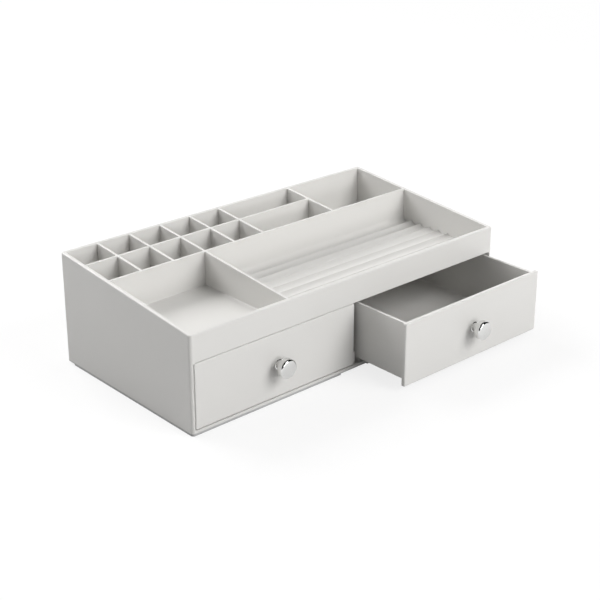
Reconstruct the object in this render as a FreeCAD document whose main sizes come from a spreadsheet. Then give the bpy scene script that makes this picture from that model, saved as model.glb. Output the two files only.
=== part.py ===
import FreeCAD, Part
import math
import os
import Sketcher

# A desktop organizer: one moulded case with a divided tray on top and two drawers below it.
# X runs along the front, +Y points to the rear, +Z up. The origin lies on the table, under the
# middle of the case. Lengths are in millimetres and angles in degrees.

# Driving dimensions: name, value and what it measures.
SIZES = [
    ("case_width", 330.0, "case, left face to right face"),
    ("case_depth", 168.0, "case, front face to rear face"),
    ("front_height", 82.0, "table to the rim at the front face"),
    ("rear_height", 97.0, "table to the rim at the rear face"),
    ("outer_wall", 2.6, "wall of the case beside the drawers"),
    ("tray_wall", 3.8, "wall of the case round the tray, at the tray floor"),
    ("case_corner_radius", 2.5, "upright outer corners of the case"),
    ("rim_outer_radius", 1.2, "rounding of the sloping rim's outer edge"),
    ("rim_radius", 0.6, "rounding of the rim's inner edges and of the dividers' tops"),
    ("deck_underside", 59.4, "table to the ceiling of the drawer bays"),
    ("deck_thickness", 2.6, "floor of the tray"),
    ("draft_angle", 0.5, "mould draft of every compartment wall"),
    ("divider_thickness", 2.8, "dividers at the tray floor"),
    ("cell_width", 28.4, "small cell, along X at the floor"),
    ("long_cell_width", 77.3, "long cell, along X at the floor"),
    ("rear_row_depth", 26.0, "rear row of cells, along Y at the floor"),
    ("second_row_depth", 29.6, "second row of cells, along Y at the floor"),
    ("cell_floor_radius", 1.0, "wall to floor in the larger compartments"),
    ("bay_corner_radius", 1.5, "upright inner corners of the case under the tray"),
    ("trough_depth", 2.4, "pen trough, ridge to valley"),
    ("valley_floor", 1.8, "material under a pen trough"),
    ("trough_count", 9, "pen troughs, side by side along Y"),
    ("ridge_land", 0.4, "flat top of the ridge between two troughs"),
    ("cove_radius", 5.0, "cove between an outer trough and the wall beside it"),
    ("lip_height", 4.2, "table to the top of the rail under the drawer fronts"),
    ("centre_wall", 2.0, "wall between the two drawer bays"),
    ("centre_wall_setback", 0.5, "closed drawer front to the centre wall"),
    ("plinth_height", 1.5, "plinth that the case stands on"),
    ("plinth_reveal", 0.4, "plinth inside the faces of the case"),
    ("plinth_band", 14.0, "width of the plinth's band"),
    ("plinth_rear_setback", 8.0, "rear face of the case to the plinth"),
    ("plinth_notch", 30.0, "break in the plinth at the middle of the front"),
    ("base_thickness", 2.2, "base plate"),
    ("base_clearance", 0.3, "base plate to the walls round it"),
    ("rail_top", 9.0, "table to the top of the ribs that carry a drawer"),
    ("rail_thickness", 2.0, "ribs that carry and guide a drawer"),
    ("rail_inset", 3.0, "side of a drawer box to the rib that carries it"),
    ("guide_top", 14.0, "table to the top of the ribs that guide a drawer"),
    ("guide_clearance", 0.4, "side of a drawer box to its guide rib"),
    ("guide_end_gap", 0.3, "closed drawer front to the ends of the ribs"),
    ("guide_rear_gap", 5.0, "rear wall to the ends of the ribs"),
    ("snap_bottom", 6.8, "table to the underside of the catch ridges"),
    ("snap_height", 1.2, "catch ridge and barb"),
    ("snap_reach", 0.9, "catch ridge from its wall, and barb from its rib"),
    ("snap_length", 14.0, "catch ridge and barb, along Y"),
    ("snap_gap", 0.2, "catch ridge to the barb above it"),
    ("snap_spacing", 55.0, "one catch to the next"),
    ("snap_count", 3, "catches on each side wall"),
    ("front_gap", 0.8, "gap beside and above a drawer front"),
    ("front_bottom_gap", 0.4, "drawer front to the rail under it"),
    ("front_thickness", 3.0, "drawer front"),
    ("front_radius", 1.2, "corners of a drawer front and edges of its face"),
    ("front_overhang", 3.0, "drawer front beyond the drawer box, each side"),
    ("drawer_rear_gap", 3.4, "closed drawer to the rear wall of the case"),
    ("drawer_wall", 2.3, "drawer wall"),
    ("drawer_floor", 2.0, "drawer floor"),
    ("drawer_top_drop", 1.1, "top of a drawer front to the rim of the box"),
    ("drawer_corner_radius", 4.0, "upright rear corners of a drawer"),
    ("drawer_inner_radius", 3.0, "upright inner corners of a drawer"),
    ("drawer_floor_radius", 2.0, "drawer wall to floor, inside"),
    ("drawer_rim_chamfer", 0.4, "bevel of a drawer's rim"),
    ("running_gap", 0.3, "drawer floor to the ribs that carry it"),
    ("drawer_travel", 120.0, "closed to fully open"),
    ("drawer_open", 54.8, "how far the right drawer stands open"),
    ("tab_width", 24.0, "stop tab under a drawer, along X"),
    ("tab_length", 3.0, "stop tab, along Y"),
    ("tab_drop", 2.1, "stop tab below the drawer floor"),
    ("tab_setback", 2.0, "stop tab in front of the drawer's rear face"),
    ("stop_overlap", 1.4, "height that the tab and the stop rib share"),
    ("stop_gap", 0.3, "tab to the stop rib when fully open"),
    ("stop_width", 40.0, "stop rib, along X"),
    ("knob_height", 32.0, "table to the axis of a knob"),
    ("knob_length", 12.5, "drawer front to the face of the knob"),
    ("knob_diameter", 16.0, "head of the knob"),
    ("knob_head", 5.2, "side of the knob's head, with its bevel"),
    ("knob_flare", 1.6, "cone from the neck to the head"),
    ("knob_face_bevel", 1.0, "bevel round the knob's face"),
    ("knob_neck_diameter", 7.4, "neck of the knob"),
    ("knob_foot_diameter", 9.4, "foot of the knob on the drawer front"),
    ("knob_foot", 1.6, "height of the knob's tapered foot"),
    ("knob_bore_gap", 2.3, "tip of the screw to the bottom of the tapped hole"),
    ("screw_diameter", 4.0, "knob screw"),
    ("screw_length", 12.0, "knob screw under its head"),
    ("screw_head_diameter", 7.6, "pan head"),
    ("screw_head", 2.6, "height of the pan head"),
    ("screw_head_chamfer", 1.0, "bevel of the pan head"),
    ("recess_length", 4.2, "cross recess, tip to tip"),
    ("recess_width", 0.9, "one arm of the cross recess"),
    ("recess_depth", 1.5, "cross recess"),
    ("washer_diameter", 10.0, "washer under the screw's head"),
    ("washer_thickness", 1.0, "washer"),
    ("boss_diameter", 12.0, "seat of the washer inside a drawer front"),
    ("boss_height", 0.8, "seat of the washer, from the back of the front"),
    ("screw_hole_clearance", 0.2, "screw to the holes that it passes, on radius"),
    ("thread_clearance", 0.05, "screw to the tapped hole, on radius"),
]

# Places worked out from the sizes, each in its own cell so that a sketch can be bound to it.
PLACES = [
    ("half_width", "sizes.case_width / 2"),
    ("half_depth", "sizes.case_depth / 2"),
    ("case_front", "-half_depth"),
    ("inner_right", "half_width - sizes.outer_wall"),
    ("inner_left", "-inner_right"),
    ("inner_rear", "half_depth - sizes.outer_wall"),
    ("inner_front", "-inner_rear"),
    ("inner_width", "2 * inner_right"),
    ("inner_depth", "2 * inner_rear"),
    ("rooms_right", "half_width - sizes.tray_wall"),
    ("rooms_left", "-rooms_right"),
    ("rooms_rear", "half_depth - sizes.tray_wall"),
    ("rooms_front", "-rooms_rear"),
    ("deck_top", "sizes.deck_underside + sizes.deck_thickness"),
    ("room_reach", "sizes.rear_height - sizes.deck_underside"),
    ("room_lean", "room_reach * tan(sizes.draft_angle)"),
    ("bay_height", "sizes.deck_underside - sizes.plinth_height"),
    ("window_height", "sizes.deck_underside - sizes.lip_height"),
    ("window_depth", "sizes.outer_wall + sizes.bay_corner_radius"),
    ("window_radius", "sizes.front_radius + sizes.front_gap"),
    ("cell_step", "sizes.cell_width + sizes.divider_thickness"),
    ("second_row_rear", "rooms_rear - sizes.rear_row_depth - sizes.divider_thickness"),
    ("second_row_front", "second_row_rear - sizes.second_row_depth"),
    ("tray_rear", "second_row_front - sizes.divider_thickness"),
    ("two_row_depth", "rooms_rear - second_row_front"),
    ("tray_depth", "tray_rear - rooms_front"),
    ("cell_1_left", "rooms_left"),
    ("cell_2_left", "cell_1_left + cell_step"),
    ("cell_3_left", "cell_2_left + cell_step"),
    ("cell_4_left", "cell_3_left + cell_step"),
    ("cell_5_left", "cell_4_left + cell_step"),
    ("long_cell_left", "cell_5_left + cell_step"),
    ("wide_cell_left", "long_cell_left + sizes.long_cell_width + sizes.divider_thickness"),
    ("wide_cell_width", "rooms_right - wide_cell_left"),
    ("front_cell_width", "cell_4_left - sizes.divider_thickness - rooms_left"),
    ("tray_left", "cell_4_left"),
    ("tray_width", "rooms_right - tray_left"),
    ("ridge_top", "sizes.deck_underside + sizes.valley_floor + sizes.trough_depth"),
    ("trough_chord", "(tray_depth + sizes.ridge_land) / sizes.trough_count - sizes.ridge_land"),
    ("trough_run", "(trough_chord + sizes.ridge_land) * (sizes.trough_count - 1)"),
    ("trough_radius", "(trough_chord * trough_chord / 4 + sizes.trough_depth * sizes.trough_depth)"
                      " / (2 * sizes.trough_depth)"),
    ("cove_reach", "min(sizes.cove_radius; trough_chord / 2)"),
    ("base_top", "sizes.plinth_height + sizes.base_thickness"),
    ("base_width", "inner_width - 2 * sizes.base_clearance"),
    ("base_depth", "inner_depth - 2 * sizes.base_clearance"),
    ("base_left", "inner_left + sizes.base_clearance"),
    ("base_front", "inner_front + sizes.base_clearance"),
    ("base_corner_radius", "sizes.bay_corner_radius"),
    ("plinth_left", "-half_width + sizes.plinth_reveal"),
    ("plinth_front", "-half_depth + sizes.plinth_reveal"),
    ("plinth_width", "sizes.case_width - 2 * sizes.plinth_reveal"),
    ("plinth_depth", "half_depth - sizes.plinth_rear_setback - plinth_front"),
    ("plinth_corner_radius", "sizes.case_corner_radius - sizes.plinth_reveal"),
    ("recess_left", "plinth_left + sizes.plinth_band"),
    ("recess_front", "plinth_front + sizes.plinth_band"),
    ("underside_width", "plinth_width - 2 * sizes.plinth_band"),
    ("underside_depth", "plinth_depth - 2 * sizes.plinth_band"),
    ("notch_left", "-sizes.plinth_notch / 2"),
    ("notch_depth", "sizes.plinth_band + sizes.plinth_reveal"),
    ("front_width", "inner_right - sizes.front_gap - sizes.front_gap"),
    ("drawer_front_height", "window_height - sizes.front_gap - sizes.front_bottom_gap"),
    ("front_bottom", "sizes.lip_height + sizes.front_bottom_gap"),
    ("front_back", "case_front + sizes.front_thickness"),
    ("front_left", "-front_width / 2"),
    ("drawer_centre", "sizes.front_gap + front_width / 2"),
    ("box_width", "front_width - 2 * sizes.front_overhang"),
    ("half_box_width", "box_width / 2"),
    ("box_left", "-half_box_width"),
    ("box_bottom", "sizes.rail_top + sizes.running_gap"),
    ("box_lift", "box_bottom - front_bottom"),
    ("box_height", "drawer_front_height - sizes.drawer_top_drop - box_lift"),
    ("drawer_depth", "sizes.case_depth - sizes.outer_wall - sizes.drawer_rear_gap"),
    ("box_depth", "drawer_depth - sizes.front_thickness"),
    ("hollow_width", "box_width - 2 * sizes.drawer_wall"),
    ("hollow_left", "-hollow_width / 2"),
    ("hollow_depth", "box_depth - sizes.drawer_wall"),
    ("hollow_bottom", "box_lift + sizes.drawer_floor"),
    ("hollow_height", "box_height - sizes.drawer_floor"),
    ("knob_lift", "sizes.knob_height - front_bottom"),
    ("tab_left", "-sizes.tab_width / 2"),
    ("tab_rear", "drawer_depth - sizes.tab_setback"),
    ("tab_front", "tab_rear - sizes.tab_length"),
    ("tab_bottom", "box_lift - sizes.tab_drop"),
    ("wall_front", "front_back + sizes.centre_wall_setback"),
    ("wall_length", "inner_rear - wall_front"),
    ("wall_bottom", "base_top + sizes.snap_gap"),
    ("wall_height", "sizes.deck_underside - wall_bottom"),
    ("wall_left", "-sizes.centre_wall / 2"),
    ("rail_front", "front_back + sizes.guide_end_gap"),
    ("rail_length", "inner_rear - sizes.guide_rear_gap - rail_front"),
    ("rail_height", "sizes.rail_top - base_top"),
    ("guide_height", "sizes.guide_top - base_top"),
    ("box_near", "drawer_centre - half_box_width"),
    ("box_far", "drawer_centre + half_box_width"),
    ("near_guide", "box_near - sizes.guide_clearance - sizes.rail_thickness"),
    ("near_rail", "box_near + sizes.rail_inset"),
    ("far_rail", "box_far - sizes.rail_inset - sizes.rail_thickness"),
    ("far_guide", "box_far + sizes.guide_clearance"),
    ("barb_left", "far_guide + sizes.rail_thickness"),
    ("barb_bottom", "sizes.snap_bottom + sizes.snap_height + sizes.snap_gap"),
    ("barb_right", "barb_left + sizes.snap_reach"),
    ("barb_top", "barb_bottom + sizes.snap_height"),
    ("catch_left", "inner_right - sizes.snap_reach"),
    ("catch_top", "sizes.snap_bottom + sizes.snap_height"),
    ("snap_front", "-(sizes.snap_spacing * (sizes.snap_count - 1) + sizes.snap_length) / 2"),
    ("snap_run", "sizes.snap_spacing * (sizes.snap_count - 1)"),
    ("stop_rear", "case_front + tab_front - sizes.drawer_travel - sizes.stop_gap"),
    ("stop_front", "stop_rear - sizes.rail_thickness"),
    ("stop_left", "drawer_centre - sizes.stop_width / 2"),
    ("stop_height", "front_bottom + tab_bottom + sizes.stop_overlap - base_top"),
    ("knob_side", "sizes.knob_diameter / 2"),
    ("knob_neck_side", "sizes.knob_neck_diameter / 2"),
    ("knob_foot_side", "sizes.knob_foot_diameter / 2"),
    ("knob_side_start", "sizes.knob_length - sizes.knob_head"),
    ("knob_side_high", "sizes.knob_length - sizes.knob_face_bevel"),
    ("knob_face_side", "knob_side - sizes.knob_face_bevel"),
    ("knob_neck_end", "knob_side_start - sizes.knob_flare"),
    ("knob_bore_diameter", "sizes.screw_diameter + 2 * sizes.thread_clearance"),
    ("screw_hole_diameter", "sizes.screw_diameter + 2 * sizes.screw_hole_clearance"),
    ("screw_radius", "sizes.screw_diameter / 2"),
    ("screw_head_rim", "sizes.screw_head_diameter / 2"),
    ("screw_head_top", "screw_head_rim - sizes.screw_head_chamfer"),
    ("screw_end", "sizes.screw_head + sizes.screw_length"),
    ("recess_near", "-sizes.recess_length / 2"),
    ("recess_side", "-sizes.recess_width / 2"),
    ("seat_depth", "sizes.front_thickness + sizes.boss_height"),
    ("screw_back", "seat_depth + sizes.washer_thickness + sizes.screw_head"),
    ("knob_bore_depth", "screw_end - screw_back + sizes.knob_bore_gap"),
    ("left_x", "-drawer_centre"),
    ("left_front", "case_front"),
    ("right_x", "drawer_centre"),
    ("right_front", "case_front - sizes.drawer_open"),
    ("left_washer", "left_front + seat_depth"),
    ("right_washer", "right_front + seat_depth"),
    ("left_screw", "left_front + screw_back"),
    ("right_screw", "right_front + screw_back"),
]

# Small cells in each of the two rows.
SMALL_CELLS = 5

doc = FreeCAD.newDocument("organizer")


def fill_sheet(name, rows):
    """Make a sheet with one row for each name: its cell holds the text and has the name as alias."""
    sheet = doc.addObject("Spreadsheet::Sheet", name)
    for row, entry in enumerate(rows, start=1):
        sheet.set("A%d" % row, entry[0])
        sheet.set("B%d" % row, entry[1])
        sheet.setAlias("B%d" % row, entry[0])
        if len(entry) > 2:
            sheet.set("C%d" % row, entry[2])
    return sheet


sizes = fill_sheet("sizes", [(name, str(value), note) for name, value, note in SIZES])
doc.recompute()
places = fill_sheet("places", [(name, "=" + formula) for name, formula in PLACES])
doc.recompute()

SIZE_NAMES = {entry[0] for entry in SIZES}


def cell(name):
    """The dotted name of a size or a place, for use in an expression."""
    return ("sizes." if name in SIZE_NAMES else "places.") + name


def number(name):
    """The present value of a size or a place."""
    return float(getattr(sizes if name in SIZE_NAMES else places, name))


def bind(thing, prop, name, sign=""):
    """Tie one property to a size or a place."""
    thing.setExpression(prop, sign + cell(name))


def new_body(name):
    """A body whose label is the name of its piece."""
    body = doc.addObject("PartDesign::Body", name)
    body.Label = name
    return body


def origin_item(body, role):
    """One of the planes or axes of a body's origin."""
    return next(item for item in body.Origin.OriginFeatures if item.Role == role)


def new_sketch(body, name, plane, x=None, y=None, z=None):
    """A sketch on one of the body's own planes, its origin moved to the given places."""
    sketch = body.newObject("Sketcher::SketchObject", body.Name + "_" + name)
    sketch.AttachmentSupport = [(origin_item(body, plane), "")]
    sketch.MapMode = "FlatFace"
    along = {"XY_Plane": (x, y, z), "XZ_Plane": (x, z, y), "YZ_Plane": (y, z, x)}[plane]
    signs = ("", "", "-" if plane == "XZ_Plane" else "")
    for letter, place, sign in zip("xyz", along, signs):
        if place:
            bind(sketch, "AttachmentOffset.Base." + letter, place, sign)
    return sketch


def dimension(sketch, kind, label, name, *refs):
    """Add a driving dimension that follows a size or a place."""
    index = sketch.addConstraint(Sketcher.Constraint(kind, *refs, number(name)))
    sketch.renameConstraint(index, label)
    bind(sketch, "Constraints." + label, name)


def draw_rectangle(sketch, length, width, radius=None):
    """Draw a rectangle from the sketch's origin, with rounded corners if a radius is named."""
    long, wide = number(length), number(width)
    round_off = number(radius) if radius else 0.0
    corners = [(0, 0, 1, 1), (long, 0, -1, 1), (long, wide, -1, -1), (0, wide, 1, -1)]
    starts = []
    ends = []
    for turn, (x, y, right, up) in enumerate(corners):
        along_x = FreeCAD.Vector(x + right * round_off, y, 0)
        along_y = FreeCAD.Vector(x, y + up * round_off, 0)
        starts.append(along_x if turn % 2 == 0 else along_y)
        ends.append(along_y if turn % 2 == 0 else along_x)
    for turn in range(4):
        sketch.addGeometry(Part.LineSegment(starts[turn], ends[(turn + 1) % 4]))
    if radius:
        for turn, (x, y, right, up) in enumerate(corners):
            centre = FreeCAD.Vector(x + right * round_off, y + up * round_off, 0)
            circle = Part.Circle(centre, FreeCAD.Vector(0, 0, 1), round_off)
            first = math.radians(180 + 90 * turn)
            sketch.addGeometry(Part.ArcOfCircle(circle, first, first + math.pi / 2))
            sketch.addConstraint(Sketcher.Constraint("Tangent", (turn + 3) % 4, 2, 4 + turn, 1))
            sketch.addConstraint(Sketcher.Constraint("Tangent", 4 + turn, 2, turn, 1))
        for turn in range(1, 4):
            sketch.addConstraint(Sketcher.Constraint("Equal", 4, 4 + turn))
        dimension(sketch, "Radius", "corner", radius, 4)
    else:
        for turn in range(4):
            sketch.addConstraint(Sketcher.Constraint("Coincident", turn, 2, (turn + 1) % 4, 1))
    for turn in range(4):
        sketch.addConstraint(Sketcher.Constraint(("Horizontal", "Vertical")[turn % 2], turn))
    sketch.addConstraint(Sketcher.Constraint("PointOnObject", 0, 1, -1))
    sketch.addConstraint(Sketcher.Constraint("PointOnObject", 3, 1, -2))
    dimension(sketch, "DistanceX", "length", length, 3, 1, 1, 1)
    dimension(sketch, "DistanceY", "width", width, 0, 1, 2, 1)


def draw_profile(sketch, corners):
    """Draw a closed outline whose corners are (x, y) places, None where one lies on an axis."""
    points = []
    for x, y in corners:
        points.append(FreeCAD.Vector(number(x) if x else 0.0, number(y) if y else 0.0, 0))
    count = len(points)
    for turn in range(count):
        sketch.addGeometry(Part.LineSegment(points[turn], points[(turn + 1) % count]))
    for turn in range(count):
        sketch.addConstraint(Sketcher.Constraint("Coincident", turn, 2, (turn + 1) % count, 1))
    for turn, corner in enumerate(corners):
        for kind, axis, place in zip(("DistanceX", "DistanceY"), (-2, -1), corner):
            if place:
                dimension(sketch, kind, "%s_%d" % (kind[-1].lower(), turn), place, -1, 1, turn, 1)
            else:
                sketch.addConstraint(Sketcher.Constraint("PointOnObject", turn, 1, axis))


def draw_circle(sketch, diameter):
    """Draw a circle round the sketch's origin."""
    axis = FreeCAD.Vector(0, 0, 1)
    sketch.addGeometry(Part.Circle(FreeCAD.Vector(0, 0, 0), axis, number(diameter) / 2))
    sketch.addConstraint(Sketcher.Constraint("Coincident", 0, 3, -1, 1))
    dimension(sketch, "Diameter", "diameter", diameter, 0)


def extrude(body, kind, sketch, length, backwards=False, both_ways=False):
    """Pad a sketch along its normal, or pocket it against its normal, and check that it did."""
    before = body.Tip.Shape.Volume if body.Tip else 0.0
    feature = body.newObject("PartDesign::" + kind, sketch.Name + "_" + kind.lower())
    feature.Profile = sketch
    feature.Reversed = backwards
    if both_ways:
        feature.SideType = "Symmetric"
    bind(feature, "Length", length)
    make_tip(body, feature)
    change = feature.Shape.Volume - before
    if (change > 0) != (kind == "Pad") or abs(change) < 0.01:
        raise RuntimeError("%s changed nothing" % feature.Name)
    return feature


def revolve(body, sketch):
    """Turn a sketch once round the upright axis through its origin."""
    feature = body.newObject("PartDesign::Revolution", sketch.Name + "_turned")
    feature.Profile = sketch
    feature.ReferenceAxis = (sketch, ["V_Axis"])
    feature.Angle = 360.0
    return make_tip(body, feature)


def make_tip(body, feature):
    """Make a feature the last one of its body and work it out."""
    body.Tip = feature
    doc.recompute()
    if not feature.isValid():
        raise RuntimeError("%s failed" % feature.Name)
    return feature


def row_along_y(pattern, body, length, count, backwards=False):
    """Set up a row of copies along Y."""
    pattern.Direction = (origin_item(body, "Y_Axis"), [""])
    pattern.Reversed = backwards
    bind(pattern, "Length", length)
    bind(pattern, "Occurrences", count)


def dress_edges(body, kind, name, size, names):
    """Fillet or chamfer the named edges or faces of the body's last feature."""
    last = body.Tip
    feature = body.newObject("PartDesign::" + kind, body.Name + "_" + name)
    feature.Base = (last, names)
    bind(feature, "Radius" if kind == "Fillet" else "Size", size)
    return make_tip(body, feature)


def edges_of(body, test):
    """Names of the edges of the body's last feature that pass a test."""
    edges = body.Tip.Shape.Edges
    return ["Edge%d" % count for count, edge in enumerate(edges, start=1) if test(edge)]


def faces_of(body, test):
    """Names of the faces of the body's last feature that pass a test."""
    faces = body.Tip.Shape.Faces
    return ["Face%d" % count for count, face in enumerate(faces, start=1) if test(face)]


def near(first, second):
    """Whether two lengths are the same."""
    return abs(first - second) < 0.001


def is_upright(edge):
    """Whether an edge runs straight along Z, or leans by no more than the mould draft."""
    return edge.BoundBox.ZLength > 0.99 * edge.Length


def faces_up_at(face, height):
    """Whether a face is flat, level, at the given height and looks up."""
    if face.Surface.TypeId != "Part::GeomPlane":
        return False
    return near(face.CenterOfMass.z, height) and face.normalAt(0, 0).z > 0.999


def is_rim(face):
    """Whether a face is the flat sloping top of the case's walls and dividers."""
    if face.Surface.TypeId != "Part::GeomPlane":
        return False
    return face.BoundBox.ZMax > number("front_height") and face.normalAt(0, 0).z > 0.9


def compartments():
    """Every compartment but the pen tray: name, left side, rear side, width and depth at the floor."""
    rooms = []
    rows = [
        ("rear_row", "rooms_rear", "rear_row_depth"),
        ("second_row", "second_row_rear", "second_row_depth"),
    ]
    for row, rear, depth in rows:
        for count in range(1, SMALL_CELLS + 1):
            name = "%s_cell_%d" % (row, count)
            rooms.append((name, "cell_%d_left" % count, rear, "cell_width", depth))
        rooms.append((row + "_long_cell", "long_cell_left", rear, "long_cell_width", depth))
    rooms.append(("wide_cell", "wide_cell_left", "rooms_rear", "wide_cell_width", "two_row_depth"))
    rooms.append(("front_cell", "rooms_left", "tray_rear", "front_cell_width", "tray_depth"))
    return rooms


def add_case():
    """The case: a sloping rim, the divided tray, the ceiling of the drawer bays and their walls."""
    body = new_body("case_body")
    side = new_sketch(body, "side", "YZ_Plane")
    draw_profile(side, [
        ("half_depth", "plinth_height"),
        ("half_depth", "rear_height"),
        ("case_front", "front_height"),
        ("case_front", "plinth_height"),
    ])
    extrude(body, "Pad", side, "case_width", both_ways=True)
    dress_edges(body, "Fillet", "corners", "case_corner_radius", edges_of(body, is_upright))
    dress_edges(body, "Fillet", "outer_rim", "rim_outer_radius", faces_of(body, is_rim))

    bays = new_sketch(body, "bays", "XY_Plane", "inner_left", "inner_front", "plinth_height")
    draw_rectangle(bays, "inner_width", "inner_depth", "bay_corner_radius")
    extrude(body, "Pocket", bays, "bay_height", backwards=True)
    window = new_sketch(body, "window", "XZ_Plane", "inner_left", "case_front", "lip_height")
    draw_rectangle(window, "inner_width", "window_height", "window_radius")
    extrude(body, "Pocket", window, "window_depth")
    wall = new_sketch(body, "centre_wall", "XY_Plane", "wall_left", "wall_front", "wall_bottom")
    draw_rectangle(wall, "centre_wall", "wall_length")
    extrude(body, "Pad", wall, "wall_height")

    for name, left, rear, width, depth in compartments():
        cut_room(body, name, left, rear, "deck_top", width, depth)
    cut_room(body, "pen_tray", "tray_left", "tray_rear", "ridge_top", "tray_width", "tray_depth")

    dress_edges(body, "Fillet", "rim", "rim_radius", faces_of(body, is_rim))
    deck, small = number("deck_top"), 1.1 * number("cell_width")
    dress_edges(body, "Fillet", "floors", "cell_floor_radius", faces_of(
        body, lambda face: faces_up_at(face, deck) and face.BoundBox.XLength > small))
    add_troughs(body)
    add_catches(body, "catch", [
        ("inner_right", "snap_bottom"),
        ("inner_right", "catch_top"),
        ("catch_left", "catch_top"),
    ])
    return body


def cut_room(body, name, left, rear, floor, width, depth):
    """Cut one compartment from its floor up through the rim, its four walls leaning outwards."""
    last = body.Tip
    room = body.newObject("PartDesign::SubtractiveWedge", name)
    room.AttachmentSupport = [(origin_item(body, "XZ_Plane"), "")]
    room.MapMode = "FlatFace"
    bind(room, "AttachmentOffset.Base.x", left)
    bind(room, "AttachmentOffset.Base.y", floor)
    bind(room, "AttachmentOffset.Base.z", rear, "-")
    room.Xmin, room.Ymin, room.Zmin = 0.0, 0.0, 0.0
    bind(room, "Xmax", width)
    bind(room, "Ymax", "room_reach")
    bind(room, "Zmax", depth)
    bind(room, "X2min", "room_lean", "-")
    bind(room, "Z2min", "room_lean", "-")
    room.setExpression("X2max", cell(width) + " + " + cell("room_lean"))
    room.setExpression("Z2max", cell(depth) + " + " + cell("room_lean"))
    make_tip(body, room)
    if room.Shape.Volume >= last.Shape.Volume:
        raise RuntimeError("%s cut nothing" % name)


def add_troughs(body):
    """The pen tray's floor: troughs along X, with a cove up to the wall at the first and the last."""
    section = new_sketch(body, "trough", "YZ_Plane", "tray_left", "tray_rear", "ridge_top")
    chord, radius, depth = number("trough_chord"), number("trough_radius"), number("trough_depth")
    centre = FreeCAD.Vector(-chord / 2, radius - depth, 0)
    half_turn = math.asin(chord / 2 / radius)
    circle = Part.Circle(centre, FreeCAD.Vector(0, 0, 1), radius)
    section.addGeometry(Part.ArcOfCircle(circle, -math.pi / 2 - half_turn, -math.pi / 2 + half_turn))
    section.addGeometry(Part.LineSegment(FreeCAD.Vector(0, 0, 0), FreeCAD.Vector(-chord, 0, 0)))
    section.addConstraint(Sketcher.Constraint("Coincident", 0, 2, 1, 1))
    section.addConstraint(Sketcher.Constraint("Coincident", 1, 2, 0, 1))
    section.addConstraint(Sketcher.Constraint("Coincident", 1, 1, -1, 1))
    section.addConstraint(Sketcher.Constraint("Horizontal", 1))
    dimension(section, "DistanceX", "chord", "trough_chord", 1, 2, 1, 1)
    dimension(section, "Radius", "hollow", "trough_radius", 0)
    trough = extrude(body, "Pocket", section, "tray_width", backwards=True)
    row = body.newObject("PartDesign::LinearPattern", "troughs")
    row.Originals = [trough]
    row_along_y(row, body, "trough_run", "trough_count", backwards=True)
    make_tip(body, row)
    sides = (number("tray_rear"), number("rooms_front"))
    level = number("ridge_top")

    def is_cove(edge):
        box = edge.BoundBox
        at_wall = any(near(box.YMin, side) and near(box.YMax, side) for side in sides)
        return at_wall and near(box.ZMin, level) and near(box.ZMax, level) and box.XLength > 10

    dress_edges(body, "Fillet", "coves", "cove_reach", edges_of(body, is_cove))


def add_catches(body, name, corners):
    """A row of small wedges along Y, on the right, and the same on the left."""
    section = new_sketch(body, name, "XZ_Plane", y="snap_front")
    draw_profile(section, corners)
    wedge = extrude(body, "Pad", section, "snap_length", backwards=True)
    both = body.newObject("PartDesign::MultiTransform", body.Name + "_" + name + "_rows")
    both.Originals = [wedge]
    row = body.newObject("PartDesign::LinearPattern", body.Name + "_" + name + "_row")
    row_along_y(row, body, "snap_run", "snap_count")
    mirror = body.newObject("PartDesign::Mirrored", body.Name + "_" + name + "_mirror")
    mirror.MirrorPlane = (origin_item(body, "YZ_Plane"), [""])
    both.Transformations = [row, mirror]
    make_tip(body, both)


def add_base():
    """The base plate: it closes the case, carries the drawers on ribs and stands on its plinth."""
    body = new_body("base_plate")
    plate = new_sketch(body, "plate", "XY_Plane", "base_left", "base_front", "plinth_height")
    draw_rectangle(plate, "base_width", "base_depth", "base_corner_radius")
    extrude(body, "Pad", plate, "base_thickness")
    plinth = new_sketch(body, "plinth", "XY_Plane", "plinth_left", "plinth_front")
    draw_rectangle(plinth, "plinth_width", "plinth_depth", "plinth_corner_radius")
    extrude(body, "Pad", plinth, "plinth_height")
    recess = new_sketch(body, "recess", "XY_Plane", "recess_left", "recess_front")
    draw_rectangle(recess, "underside_width", "underside_depth", "bay_corner_radius")
    extrude(body, "Pocket", recess, "plinth_height", backwards=True)
    notch = new_sketch(body, "notch", "XY_Plane", "notch_left", "case_front")
    draw_rectangle(notch, "plinth_notch", "notch_depth")
    extrude(body, "Pocket", notch, "plinth_height", backwards=True)

    ribs = []
    rows = [
        ("near_guide", "guide_height"), ("near_rail", "rail_height"),
        ("far_rail", "rail_height"), ("far_guide", "guide_height"),
    ]
    for name, height in rows:
        rib = new_sketch(body, name, "XY_Plane", name, "rail_front", "base_top")
        draw_rectangle(rib, "rail_thickness", "rail_length")
        ribs.append(extrude(body, "Pad", rib, height))
    stop = new_sketch(body, "stop", "XY_Plane", "stop_left", "stop_front", "base_top")
    draw_rectangle(stop, "stop_width", "rail_thickness")
    ribs.append(extrude(body, "Pad", stop, "stop_height"))
    mirror = body.newObject("PartDesign::Mirrored", "left_ribs")
    mirror.Originals = ribs
    mirror.MirrorPlane = (origin_item(body, "YZ_Plane"), [""])
    make_tip(body, mirror)
    add_catches(body, "barb", [
        ("barb_left", "barb_bottom"),
        ("barb_right", "barb_bottom"),
        ("barb_left", "barb_top"),
    ])
    return body


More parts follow.
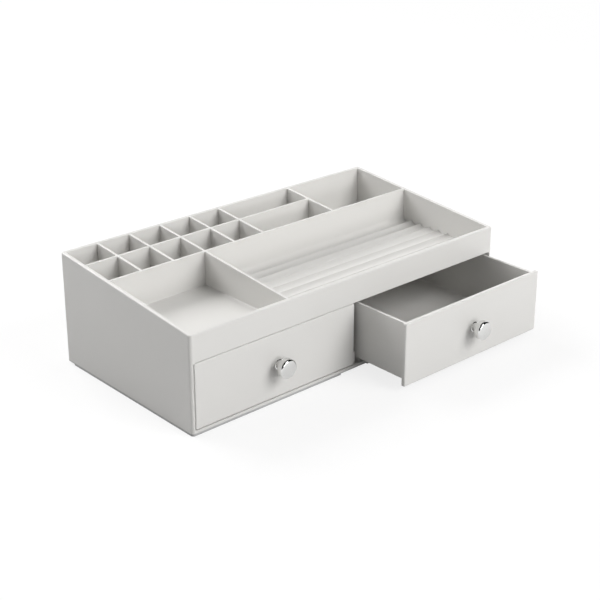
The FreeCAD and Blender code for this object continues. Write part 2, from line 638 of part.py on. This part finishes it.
def add_drawer(side):
    """A drawer: an open box moulded in one with its front, which hides the gap round it."""
    body = new_body("drawer_" + side)
    front = new_sketch(body, "front", "XZ_Plane", "front_left")
    draw_rectangle(front, "front_width", "drawer_front_height")
    extrude(body, "Pad", front, "front_thickness", backwards=True)
    dress_edges(body, "Fillet", "front_edges", "front_radius", edges_of(
        body, lambda edge: near(edge.BoundBox.YMin, 0.0)))
    box = new_sketch(body, "box", "XY_Plane", "box_left", "front_thickness", "box_lift")
    draw_rectangle(box, "box_width", "box_depth")
    extrude(body, "Pad", box, "box_height")
    hollow = new_sketch(body, "hollow", "XY_Plane", "hollow_left", "front_thickness", "hollow_bottom")
    draw_rectangle(hollow, "hollow_width", "hollow_depth")
    extrude(body, "Pocket", hollow, "hollow_height", backwards=True)

    rear, wall = number("drawer_depth"), number("drawer_wall")
    dress_edges(body, "Fillet", "inner_corners", "drawer_inner_radius", edges_of(
        body, lambda edge: is_upright(edge) and near(edge.CenterOfMass.y, rear - wall)))
    dress_edges(body, "Fillet", "outer_corners", "drawer_corner_radius", edges_of(
        body, lambda edge: is_upright(edge) and near(edge.CenterOfMass.y, rear)))
    floor = number("hollow_bottom")
    dress_edges(body, "Fillet", "inner_floor", "drawer_floor_radius", faces_of(
        body, lambda face: faces_up_at(face, floor)))
    rim, back = number("box_lift") + number("box_height"), number("front_thickness")
    dress_edges(body, "Chamfer", "rim", "drawer_rim_chamfer", edges_of(
        body, lambda edge: near(edge.BoundBox.ZMin, rim) and near(edge.BoundBox.ZMax, rim)
        and edge.BoundBox.YMax > back + 1.0))

    boss = new_sketch(body, "boss", "XZ_Plane", y="front_thickness", z="knob_lift")
    draw_circle(boss, "boss_diameter")
    extrude(body, "Pad", boss, "boss_height", backwards=True)
    hole = new_sketch(body, "hole", "XZ_Plane", z="knob_lift")
    draw_circle(hole, "screw_hole_diameter")
    extrude(body, "Pocket", hole, "seat_depth")
    tab = new_sketch(body, "tab", "XY_Plane", "tab_left", "tab_front", "tab_bottom")
    draw_rectangle(tab, "tab_width", "tab_length")
    extrude(body, "Pad", tab, "tab_drop")
    put(body, side + "_x", side + "_front", "front_bottom")
    return body


def add_knob(side):
    """A turned knob: foot, neck and a flat head with a bevelled face, tapped from behind."""
    body = new_body("knob_" + side)
    profile = new_sketch(body, "profile", "XY_Plane")
    draw_profile(profile, [
        (None, None),
        ("knob_foot_side", None),
        ("knob_neck_side", "knob_foot"),
        ("knob_neck_side", "knob_neck_end"),
        ("knob_side", "knob_side_start"),
        ("knob_side", "knob_side_high"),
        ("knob_face_side", "knob_length"),
        (None, "knob_length"),
    ])
    revolve(body, profile)
    bore = new_sketch(body, "bore", "XZ_Plane")
    draw_circle(bore, "knob_bore_diameter")
    extrude(body, "Pocket", bore, "knob_bore_depth")
    put(body, side + "_x", side + "_front", "knob_height", turned=True)
    return body


def add_screw(side):
    """A pan-head screw with a cross recess, put in from inside the drawer."""
    body = new_body("knob_screw_" + side)
    profile = new_sketch(body, "profile", "XY_Plane")
    draw_profile(profile, [
        (None, None),
        ("screw_head_top", None),
        ("screw_head_rim", "screw_head_chamfer"),
        ("screw_head_rim", "screw_head"),
        ("screw_radius", "screw_head"),
        ("screw_radius", "screw_end"),
        (None, "screw_end"),
    ])
    revolve(body, profile)
    arms = [("flat", "recess_near", "recess_side", "recess_length", "recess_width"),
            ("upright", "recess_side", "recess_near", "recess_width", "recess_length")]
    for name, left, low, width, height in arms:
        arm = new_sketch(body, name, "XZ_Plane", left, None, low)
        draw_rectangle(arm, width, height)
        extrude(body, "Pocket", arm, "recess_depth")
    put(body, side + "_x", side + "_screw", "knob_height", turned=True)
    return body


def add_washer(side):
    """A plain washer between the screw's head and the seat inside the drawer front."""
    body = new_body("knob_washer_" + side)
    disc = new_sketch(body, "disc", "XZ_Plane")
    draw_circle(disc, "washer_diameter")
    extrude(body, "Pad", disc, "washer_thickness", backwards=True)
    hole = new_sketch(body, "hole", "XZ_Plane")
    draw_circle(hole, "screw_hole_diameter")
    extrude(body, "Pocket", hole, "washer_thickness")
    put(body, side + "_x", side + "_washer", "knob_height")
    return body


def put(body, x, y, z, turned=False):
    """Place a body, turned about Z to look at the front if asked."""
    if turned:
        body.Placement = FreeCAD.Placement(FreeCAD.Vector(), FreeCAD.Rotation(FreeCAD.Vector(0, 0, 1), 180))
    for axis, place in zip("xyz", (x, y, z)):
        bind(body, "Placement.Base." + axis, place)


pieces = [add_case(), add_base()]
for side in ("left", "right"):
    pieces += [add_drawer(side), add_knob(side), add_screw(side), add_washer(side)]
doc.recompute()

for item in doc.Objects:
    if "Invalid" in item.State or "Error" in item.State:
        raise RuntimeError("%s is in state %s" % (item.Name, item.State))
for piece in pieces:
    if piece.Shape.isNull() or not piece.Shape.isValid():
        raise RuntimeError("%s has no valid shape" % piece.Label)

os.makedirs("parts", exist_ok=True)
for piece in pieces:
    piece.Shape.exportStep("parts/%s.step" % piece.Label)
    print(piece.Label, len(piece.Shape.Solids), "solid,", round(piece.Shape.Volume / 1000, 2), "cm3")
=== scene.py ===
"""Looks of a desktop organizer: two drawers under a divided tray with a sloping rim.

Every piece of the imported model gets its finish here, the two knobs are turned as finer pieces,
and a plain studio is set up round them. Lengths are metres: X runs along the front, +Y points to
the rear and +Z up.
"""

import logging
import math
from dataclasses import dataclass
from enum import Enum

import bmesh
import bpy
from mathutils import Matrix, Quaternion, Vector


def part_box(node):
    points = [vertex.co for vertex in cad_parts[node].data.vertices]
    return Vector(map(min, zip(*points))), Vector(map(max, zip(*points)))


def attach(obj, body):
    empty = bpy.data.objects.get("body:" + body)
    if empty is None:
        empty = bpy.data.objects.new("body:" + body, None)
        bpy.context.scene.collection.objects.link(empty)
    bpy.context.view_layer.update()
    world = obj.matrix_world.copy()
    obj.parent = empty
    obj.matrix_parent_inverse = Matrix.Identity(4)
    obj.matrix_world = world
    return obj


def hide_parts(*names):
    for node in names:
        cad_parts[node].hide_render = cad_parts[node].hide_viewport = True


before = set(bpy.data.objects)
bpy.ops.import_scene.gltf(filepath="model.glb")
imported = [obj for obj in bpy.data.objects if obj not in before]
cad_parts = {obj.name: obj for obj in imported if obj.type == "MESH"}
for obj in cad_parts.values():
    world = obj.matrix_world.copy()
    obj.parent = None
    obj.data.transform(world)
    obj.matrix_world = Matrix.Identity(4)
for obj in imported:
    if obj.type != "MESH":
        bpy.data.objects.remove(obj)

MM = 0.001
WHITE = (1.0, 1.0, 1.0, 1.0)

log = logging.getLogger("organizer")

Colour = tuple[float, float, float]
Triple = tuple[float, float, float]


class Side(Enum):
    """The two drawers, as seen from the front."""

    LEFT = "left"
    RIGHT = "right"

    @property
    def body(self) -> str:
        """Name of the body that the drawer moves with."""
        return f"{self.value}_drawer"

    def node(self, piece: str) -> str:
        """Name of this side's copy of a piece."""
        return f"{piece}_{self.value}"


class Slot(Enum):
    """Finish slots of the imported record."""

    CASE = "case_plastic"
    DRAWER = "drawer_plastic"
    KNOB = "knob_chrome"
    FASTENER = "fastener_steel"


Finishes = dict[Slot, bpy.types.Material]


@dataclass(frozen=True)
class Grain:
    """A soft random pattern."""

    scale: float
    detail: float = 2.0
    roughness: float = 0.5
    stretch: Triple = (1.0, 1.0, 1.0)


class Signal:
    """A shader socket that takes part in Python arithmetic. Each sum adds one Math node."""

    def __init__(self, graph: "Graph", socket: bpy.types.NodeSocket) -> None:
        """Wrap an output socket, and keep the graph that new nodes go to."""
        self.graph = graph
        self.socket = socket

    def _join(self, operation: str, first: "Signal | float", second: "Signal | float") -> "Signal":
        """The result of one Math node, with its left and right sides."""
        return self.graph.node("ShaderNodeMath", {"operation": operation}, {0: first, 1: second})

    def __add__(self, other: "Signal | float") -> "Signal":
        """This value plus another."""
        return self._join("ADD", self, other)

    __radd__ = __add__

    def __sub__(self, other: "Signal | float") -> "Signal":
        """This value less another."""
        return self._join("SUBTRACT", self, other)

    def __rsub__(self, other: "Signal | float") -> "Signal":
        """Another value less this one."""
        return self._join("SUBTRACT", other, self)

    def __mul__(self, other: "Signal | float") -> "Signal":
        """This value times another."""
        return self._join("MULTIPLY", self, other)

    __rmul__ = __mul__


class Graph:
    """The node graph of a material or of the world."""

    # A Mix node's sockets for colours: its two ends, and its result.
    MIX_ENDS = (6, 7)
    MIX_RESULT = 2

    def __init__(self, owner: bpy.types.Material | bpy.types.World) -> None:
        """Start an empty graph.

        Args:
            owner: The material or world that it belongs to.
        """
        owner.use_nodes = True
        self.tree = owner.node_tree
        self.tree.nodes.clear()

    def node(
        self,
        kind: str,
        settings: dict[str, object] | None = None,
        sockets: dict[str | int, object] | None = None,
        output: str | int = 0,
    ) -> Signal:
        """Add a node.

        Args:
            kind: Type of the node.
            settings: Its own settings, and the stops of a ramp as pairs of place and grey.
            sockets: Values or signals for its inputs.
            output: The output that is wanted.

        Returns:
            That output.
        """
        made = self.tree.nodes.new(kind)
        for name, value in (settings or {}).items():
            if name == "stops":
                self._set_stops(made, value)
            else:
                setattr(made, name, value)
        for key, value in (sockets or {}).items():
            self.feed(made.inputs[key], value)
        return Signal(self, made.outputs[output])

    @staticmethod
    def _set_stops(ramp: bpy.types.Node, stops: list[tuple[float, float]]) -> None:
        """Give a colour ramp its grey stops.

        Args:
            ramp: The ramp's node.
            stops: Place and grey of each stop.
        """
        elements = ramp.color_ramp.elements
        while len(elements) < len(stops):
            elements.new(1.0)
        for element, (place, grey) in zip(elements, stops):
            element.position = place
            element.color = (grey, grey, grey, 1.0)

    def feed(self, socket: bpy.types.NodeSocket, value: object) -> None:
        """Give an input what it is to use.

        Args:
            socket: The input.
            value: A signal, which is linked, or a plain value.
        """
        if isinstance(value, Signal):
            self.tree.links.new(value.socket, socket)
        else:
            socket.default_value = value

    def show(self, kind: str, result: Signal) -> None:
        """Add an output node, and show a shader with it."""
        self.feed(self.tree.nodes.new(kind).inputs["Surface"], result)

    def noise(self, where: Signal, grain: Grain) -> Signal:
        """Soft random values about one half.

        Args:
            where: The coordinates.
            grain: The pattern.

        Returns:
            The value.
        """
        if grain.stretch != Grain.stretch:
            where = self.node("ShaderNodeMapping", {}, {"Vector": where, "Scale": grain.stretch})
        sockets = {"Vector": where, "Scale": grain.scale, "Detail": grain.detail}
        return self.node("ShaderNodeTexNoise", {}, sockets | {"Roughness": grain.roughness})

    def soft_step(self, value: Signal, start: float, end: float) -> Signal:
        """0 up to a start, 1 from an end on, and a smooth rise between them."""
        sockets = {"Value": value, "From Min": start, "From Max": end}
        return self.node("ShaderNodeMapRange", {"interpolation_type": "SMOOTHSTEP"}, sockets)

    def blend(self, factor: Signal, first: Colour | Signal, second: Colour | Signal) -> Signal:
        """A colour between two others.

        Args:
            factor: 0 gives the first and 1 the second.
            first: One end, as a colour or a signal.
            second: The other end.

        Returns:
            The colour.
        """
        sockets = {"Factor": factor}
        for key, end in zip(self.MIX_ENDS, (first, second)):
            sockets[key] = end if isinstance(end, Signal) else (*end, 1.0)
        return self.node("ShaderNodeMix", {"data_type": "RGBA"}, sockets, self.MIX_RESULT)

    def direct(self) -> Signal:
        """1 where the camera itself looks, and 0 elsewhere."""
        return self.node("ShaderNodeLightPath", output="Is Camera Ray")

    def mirrored(self) -> Signal:
        """1 for what is seen in a mirror or through glass, and 0 elsewhere."""
        glossy = self.node("ShaderNodeLightPath", output="Is Glossy Ray")
        return glossy + self.node("ShaderNodeLightPath", output="Is Transmission Ray")


class Surface(Graph):
    """The node graph of one material, round its surface shader."""

    def __init__(self, name: str) -> None:
        """Start a new material.

        Args:
            name: Its name.
        """
        self.material = bpy.data.materials.new(name)
        super().__init__(self.material)
        self.shader = self.tree.nodes.new("ShaderNodeBsdfPrincipled")
        self.plain = Signal(self, self.shader.outputs[0])

    def set(self, inputs: dict[str, object]) -> None:
        """Set inputs of the surface shader, by their names."""
        for name, value in inputs.items():
            self.feed(self.shader.inputs[name], value)

    def finish(self, result: Signal | None = None) -> bpy.types.Material:
        """The material, which shows its surface shader or another one made from it."""
        self.show("ShaderNodeOutputMaterial", result or self.plain)
        return self.material

    def place(self) -> Signal:
        """The point on the piece, in the piece's own coordinates."""
        return self.node("ShaderNodeTexCoord", output="Object")

    def normal(self) -> Signal:
        """The surface's own normal."""
        return self.node("ShaderNodeNewGeometry", output="Normal")

    def rounded(self, radius: float) -> Signal:
        """The surface's normal, softened over its sharp edges."""
        return self.node("ShaderNodeBevel", {"samples": 4}, {"Radius": radius})

    def bump(self, height: Signal, depth: float, below: Signal, strength: float = 1.0) -> Signal:
        """The normal below, tilted by a height from 0 to 1, where 1 stands for the depth in metres."""
        sockets = {"Height": height, "Distance": depth, "Normal": below, "Strength": strength}
        return self.node("ShaderNodeBump", {}, sockets)


@dataclass(frozen=True)
class MouldedPlastic:
    """Opaque gloss plastic from a polished mould, with painted shade along its bottom edge where one is
    wanted.
    """

    name: str
    colour: Colour = (0.715, 0.705, 0.682)
    haze: Colour = (0.69, 0.682, 0.664)
    flow: Grain = Grain(14.0, 3.0, 0.55, (0.35, 1.0, 1.0))
    roughness: float = 0.3
    smudge: Grain = Grain(33.0, 4.0, 0.6)
    smudge_edges: tuple[float, float] = (0.42, 0.72)
    smudge_roughness: float = 0.04
    peel: Grain = Grain(620.0, 1.0)
    peel_depth: float = 0.012 * MM
    sink: Grain = Grain(26.0, 1.0)
    sink_depth: float = 0.10 * MM
    edge_radius: float = 0.25 * MM
    refraction: float = 1.5
    # Start height, band height and grey of the painted shade along the bottom edge; None leaves it out.
    painted_shade_start: float | None = None
    painted_shade_height: float = 1.3 * MM
    painted_shade_grey: float = 0.45

    def material(self) -> bpy.types.Material:
        """Build the material.

        Returns:
            The material.
        """
        graph = Surface(self.name)
        where = graph.place()
        clean, smudged = self.smudge_edges
        smudges = graph.node(
            "ShaderNodeValToRGB",
            {"stops": [(clean, 0.0), (smudged, 1.0)]},
            {"Fac": graph.noise(where, self.smudge)},
        )
        sunk = graph.bump(graph.noise(where, self.sink), self.sink_depth, graph.rounded(self.edge_radius))
        colour = graph.blend(graph.noise(where, self.flow), self.colour, self.haze)
        # Painted shade: over a thin band above the start height, the base colour fades from a dark grey
        # into the plastic's colour. It stands in for the shade along the case's bottom edge.
        if self.painted_shade_start is not None:
            height = graph.node("ShaderNodeSeparateXYZ", {}, {"Vector": where}, "Z")
            above_painted_shade = graph.soft_step(height, self.painted_shade_start, self.painted_shade_start + self.painted_shade_height)
            colour = graph.blend(above_painted_shade, (self.painted_shade_grey,) * 3, colour)
        graph.set({
            "Base Color": colour,
            "Roughness": self.roughness + smudges * self.smudge_roughness,
            "Normal": graph.bump(graph.noise(where, self.peel), self.peel_depth, sunk),
            "IOR": self.refraction,
        })
        return graph.finish()


@dataclass(frozen=True)
class PolishedChrome:
    """Chrome plate over a turned knob, with its turning marks hardly left."""

    name: str
    colour: Colour = (0.76, 0.76, 0.75)
    roughness: float = 0.07
    wipe: Grain = Grain(240.0, 3.0, 0.6)
    wipe_roughness: float = 0.05
    ripple: Grain = Grain(300.0, 1.0)
    ripple_depth: float = 0.006 * MM

    def material(self) -> bpy.types.Material:
        """Build the material.

        Returns:
            The material.
        """
        graph = Surface(self.name)
        where = graph.place()
        graph.set({
            "Base Color": (*self.colour, 1.0),
            "Metallic": 1.0,
            "Roughness": self.roughness + graph.noise(where, self.wipe) * self.wipe_roughness,
            "Normal": graph.bump(graph.noise(where, self.ripple), self.ripple_depth, graph.normal()),
        })
        return graph.finish()


@dataclass(frozen=True)
class ZincSteel:
    """Bright zinc plate on small steel fasteners."""

    name: str
    bright: Colour = (0.62, 0.63, 0.65)
    dull: Colour = (0.45, 0.45, 0.46)
    roughness: float = 0.28
    spangle: Grain = Grain(900.0, 4.0, 0.65)
    spangle_roughness: float = 0.14
    brushing: Grain = Grain(4000.0, stretch=(1.0, 0.1, 1.0))
    brushing_depth: float = 0.01 * MM
    brushing_strength: float = 0.6
    edge_radius: float = 0.08 * MM

    def material(self) -> bpy.types.Material:
        """Build the material.

        Returns:
            The material.
        """
        graph = Surface(self.name)
        where = graph.place()
        spangle = graph.noise(where, self.spangle)
        lines = graph.noise(where, self.brushing)
        soft = graph.rounded(self.edge_radius)
        graph.set({
            "Base Color": graph.blend(spangle, self.dull, self.bright),
            "Metallic": 1.0,
            "Roughness": self.roughness + spangle * self.spangle_roughness,
            "Normal": graph.bump(lines, self.brushing_depth, soft, self.brushing_strength),
        })
        return graph.finish()


def dress(piece: bpy.types.Object, material: bpy.types.Material) -> bpy.types.Object:
    """Give a piece one material all over.

    Args:
        piece: The piece.
        material: Its material.

    Returns:
        The same piece.
    """
    piece.data.materials.clear()
    piece.data.materials.append(material)
    return piece


class Turning:
    """A piece turned about an axis along Y. It starts as a plain closed cylinder, in edit mode."""

    # The least share of a normal along a direction, for a face that looks that way.
    FACING = 0.9

    def __init__(self, name: str, radius: float, face: Vector, back: Vector, sides: int) -> None:
        """Add the cylinder.

        Args:
            name: Name of the finished piece.
            radius: Radius of the cylinder.
            face: Middle of its front cap.
            back: Middle of its rear cap.
            sides: Number of its sides.
        """
        self.back = back
        bpy.ops.object.select_all(action="DESELECT")
        bpy.ops.mesh.primitive_cylinder_add(
            vertices=sides,
            radius=radius,
            depth=(back - face).length,
            location=(face + back) / 2,
            rotation=(math.pi / 2, 0.0, 0.0),
        )
        self.piece = bpy.context.object
        self.piece.name = name
        bpy.ops.object.transform_apply(location=True, rotation=True, scale=True)
        bpy.ops.object.mode_set(mode="EDIT")
        bpy.ops.mesh.select_mode(type="FACE")

    def pick(self, towards: Vector) -> None:
        """Select the faces that look one way, and no others.

        Args:
            towards: The direction, of length 1.
        """
        bpy.ops.mesh.select_all(action="DESELECT")
        mesh = bmesh.from_edit_mesh(self.piece.data)
        for face in mesh.faces:
            face.select_set(face.normal.dot(towards) > self.FACING)
        bmesh.update_edit_mesh(self.piece.data)

    def round_off(self, radius: float, segments: int) -> None:
        """Round the edge of the selected cap."""
        bpy.ops.mesh.bevel(offset=radius, segments=segments)

    def push(self, distance: float, growth: float = 1.0) -> None:
        """Extrude the selected cap towards the rear, then scale its radius by the growth."""
        bpy.ops.mesh.extrude_region_move(TRANSFORM_OT_translate={"value": (0.0, distance, 0.0)})
        bpy.ops.transform.resize(value=(growth, 1.0, growth), center_override=self.back)

    def finish(self, smooth_degrees: float) -> bpy.types.Object:
        """Leave edit mode and smooth all but the sharp edges.

        Args:
            smooth_degrees: The least angle that stays sharp.

        Returns:
            The finished piece.
        """
        bpy.ops.object.mode_set(mode="OBJECT")
        bpy.ops.object.shade_smooth_by_angle(angle=math.radians(smooth_degrees))
        return self.piece


@dataclass
class Knob:
    """A turned knob: foot, slim neck and a flat head with a rounded face."""

    side: Side
    head_radius: float = 8.0 * MM
    head_length: float = 5.4 * MM
    face_round: float = 1.8 * MM
    face_segments: int = 8
    back_round: float = 0.6 * MM
    back_segments: int = 3
    flare_length: float = 1.2 * MM
    neck_radius: float = 3.5 * MM
    foot_radius: float = 4.1 * MM
    foot_length: float = 0.9 * MM
    foot_edge: float = 0.5 * MM
    sides: int = 128
    smooth_degrees: float = 30.0

    def build(self, chrome: bpy.types.Material) -> bpy.types.Object:
        """Turn the knob in the place of its plain one.

        Args:
            chrome: Its finish.

        Returns:
            The knob.
        """
        low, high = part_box(self.side.node("knob"))
        rearward = Vector((0.0, 1.0, 0.0))
        face = Vector(((low.x + high.x) / 2, low.y, (low.z + high.z) / 2))
        back = face + rearward * self.head_length
        turning = Turning(self.side.node("turned_knob"), self.head_radius, face, back, self.sides)
        turning.pick(-rearward)
        turning.round_off(self.face_round, self.face_segments)
        turning.pick(rearward)
        turning.round_off(self.back_round, self.back_segments)
        turning.pick(rearward)
        neck_length = high.y - back.y - self.flare_length - self.foot_length
        turning.push(self.flare_length, self.neck_radius / (self.head_radius - self.back_round))
        turning.push(neck_length)
        turning.push(self.foot_length - self.foot_edge, self.foot_radius / self.neck_radius)
        turning.push(self.foot_edge)
        piece = turning.finish(self.smooth_degrees)
        dress(piece, chrome)
        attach(piece, self.side.body)
        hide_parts(self.side.node("knob"))
        return piece


@dataclass
class Drawer:
    """A drawer with its front, its knob, and the screw and washer that hold the knob."""

    side: Side
    fasteners: tuple[str, ...] = ("knob_screw", "knob_washer")

    def build(self, finishes: Finishes) -> list[bpy.types.Object]:
        """Dress the drawer and its fasteners and turn its knob.

        Args:
            finishes: The material of each slot.

        Returns:
            The pieces.
        """
        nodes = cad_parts
        drawer = dress(nodes[self.side.node("drawer")], finishes[Slot.DRAWER])
        fasteners = [dress(nodes[self.side.node(name)], finishes[Slot.FASTENER]) for name in self.fasteners]
        return [drawer, *fasteners, Knob(self.side).build(finishes[Slot.KNOB])]


@dataclass
class Case:
    """The moulded case with its tray, and the base plate under it."""

    nodes: tuple[str, ...] = ("case_body", "base_plate")

    def build(self, finishes: Finishes) -> list[bpy.types.Object]:
        """Dress the case and its base.

        Args:
            finishes: The material of each slot.

        Returns:
            The pieces.
        """
        return [dress(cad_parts[name], finishes[Slot.CASE]) for name in self.nodes]


@dataclass(frozen=True)
class SoftBox:
    """A rectangular studio lamp that looks at the object."""

    name: str
    place: Triple
    size: tuple[float, float]
    watts: float
    mirrored: bool = True
    target: Triple = (0.0, 0.0, 0.05)

    def build(self) -> None:
        """Set up the lamp."""
        light = bpy.data.lights.new(self.name, "AREA")
        light.shape = "RECTANGLE"
        light.size, light.size_y = self.size
        light.energy = self.watts
        lamp = bpy.data.objects.new(self.name, light)
        lamp.visible_glossy = self.mirrored
        lamp.location = self.place
        ahead = Vector(self.target) - Vector(self.place)
        lamp.rotation_euler = ahead.to_track_quat("-Z", "Y").to_euler()
        bpy.context.scene.collection.objects.link(lamp)


@dataclass
class Floor:
    """A pale floor that is seen as nearly white, and white far off, with the object's shadow on it."""

    size: float = 12.0
    lit_grey: float = 0.45
    seen_grey: float = 0.95
    roughness: float = 0.9
    seen_glow: float = 0.8
    mirrored_glow: float = 0.3
    fade_start: float = 0.6
    fade_end: float = 2.0

    def build(self) -> None:
        """Lay the floor under the object."""
        bpy.ops.object.select_all(action="DESELECT")
        bpy.ops.mesh.primitive_plane_add(size=self.size, location=(0.0, 0.0, 0.0))
        floor = bpy.context.object
        floor.name = "studio_floor"
        dress(floor, self.material())

    def material(self) -> bpy.types.Material:
        """Build the paper that covers the floor.

        Returns:
            The material.
        """
        graph = Surface("floor_paper")
        direct, mirrored = graph.direct(), graph.mirrored()
        paper = graph.blend(direct + mirrored, (self.lit_grey,) * 3, (self.seen_grey,) * 3)
        graph.set({"Base Color": paper, "Roughness": self.roughness})
        glow = graph.node("ShaderNodeEmission", {}, {"Color": WHITE, "Strength": 1.0})
        reach = graph.node("ShaderNodeVectorMath", {"operation": "LENGTH"}, {0: graph.place()}, "Value")
        far = graph.soft_step(reach, self.fade_start, self.fade_end)
        seen = self.seen_glow + far * (1.0 - self.seen_glow)
        share = direct * seen + mirrored * self.mirrored_glow
        return graph.finish(graph.node("ShaderNodeMixShader", {}, {0: share, 1: graph.plain, 2: glow}))


@dataclass
class Room:
    """An evenly pale room that is seen as white, but for a dark part in front that metal mirrors."""

    strength: float = 0.176
    mirrored_grey: float = 0.8
    dark_middle: Triple = (0.1, -0.75, 0.65)
    dark_outer_degrees: float = 78.0
    dark_inner_degrees: float = 72.0
    dark_grey: float = 0.016

    def build(self) -> None:
        """Put the room round the object."""
        world = bpy.data.worlds.new("studio_air")
        graph = Graph(world)
        direction = graph.node("ShaderNodeTexCoord", output="Generated")
        towards = {0: direction, 1: Vector(self.dark_middle).normalized()}
        near = graph.node("ShaderNodeVectorMath", {"operation": "DOT_PRODUCT"}, towards, "Value")
        outer = math.cos(math.radians(self.dark_outer_degrees))
        inner = math.cos(math.radians(self.dark_inner_degrees))
        dark = graph.soft_step(near, outer, inner)
        direct, mirrored = graph.direct(), graph.mirrored()
        lit = (1.0 - direct - mirrored) * self.strength
        mirror_image = self.mirrored_grey - dark * (self.mirrored_grey - self.dark_grey)
        strength = lit + direct + mirrored * mirror_image
        air = graph.node("ShaderNodeBackground", {}, {"Color": WHITE, "Strength": strength})
        graph.show("ShaderNodeOutputWorld", air)
        bpy.context.scene.world = world


@dataclass
class Viewpoint:
    """The camera, which sees the object from the left and above."""

    place: Triple = (-0.6692, -0.7645, 0.4827)
    yaw_degrees: float = 41.87
    pitch_degrees: float = 21.21
    roll_degrees: float = 0.06
    focal_pixels: float = 1310.0
    middle_row: float = 240.0
    image_pixels: float = 600.0
    sensor_mm: float = 36.0
    nearest: float = 10.0 * MM

    def build(self) -> None:
        """Set up the camera."""
        yaw, pitch = math.radians(self.yaw_degrees), math.radians(self.pitch_degrees)
        ahead = Vector((math.sin(yaw) * math.cos(pitch), math.cos(yaw) * math.cos(pitch), -math.sin(pitch)))
        data = bpy.data.cameras.new("camera")
        data.sensor_width = self.sensor_mm
        data.lens = self.focal_pixels / self.image_pixels * self.sensor_mm
        data.shift_y = (self.middle_row - self.image_pixels / 2) / self.image_pixels
        data.clip_start = self.nearest
        camera = bpy.data.objects.new("camera", data)
        camera.location = self.place
        camera.rotation_mode = "QUATERNION"
        roll = Quaternion(ahead, math.radians(self.roll_degrees))
        camera.rotation_quaternion = roll @ ahead.to_track_quat("-Z", "Y")
        bpy.context.scene.collection.objects.link(camera)
        bpy.context.scene.camera = camera


@dataclass
class Studio:
    """A pale floor and room, soft light and the camera."""

    lamps: tuple[SoftBox, ...] = (
        SoftBox("front_lamp", (0.9, -1.9, 1.5), (1.6, 1.2), 31.0, mirrored=False),
        SoftBox("high_lamp", (0.4, -1.75, 1.6), (1.1, 0.8), 9.0),
        SoftBox("low_lamp", (0.3, -2.2, 0.42), (1.6, 0.5), 12.0),
        SoftBox("rear_lamp", (-0.3, 1.8, 1.6), (1.6, 1.2), 48.0),
        SoftBox("left_lamp", (-1.35, 1.0, 1.4), (1.2, 1.2), 9.0),
        SoftBox("right_lamp", (1.8, 0.5, 0.9), (1.2, 1.0), 4.0),
    )

    def build(self) -> None:
        """Set the studio up round the object."""
        Floor().build()
        Room().build()
        for lamp in self.lamps:
            lamp.build()
        Viewpoint().build()
        bpy.context.scene.view_settings.view_transform = "Standard"


def main() -> None:
    """Dress the object, piece by piece, and set up the studio."""
    logging.basicConfig(level=logging.INFO, format="%(name)s: %(message)s")
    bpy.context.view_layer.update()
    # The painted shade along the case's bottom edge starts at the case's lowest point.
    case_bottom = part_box("case_body")[0].z
    finishes = {
        Slot.CASE: MouldedPlastic("bottom_shaded_plastic", painted_shade_start=case_bottom).material(),
        Slot.DRAWER: MouldedPlastic("plain_plastic").material(),
        Slot.KNOB: PolishedChrome("polished_chrome").material(),
        Slot.FASTENER: ZincSteel("zinc_steel").material(),
    }
    for assembly in (Case(), *(Drawer(side) for side in Side)):
        for piece in assembly.build(finishes):
            log.info("%s has its finish, %d faces", piece.name, len(piece.data.polygons))
    Studio().build()
    log.info("studio set up")


if __name__ == "__main__":
    main()
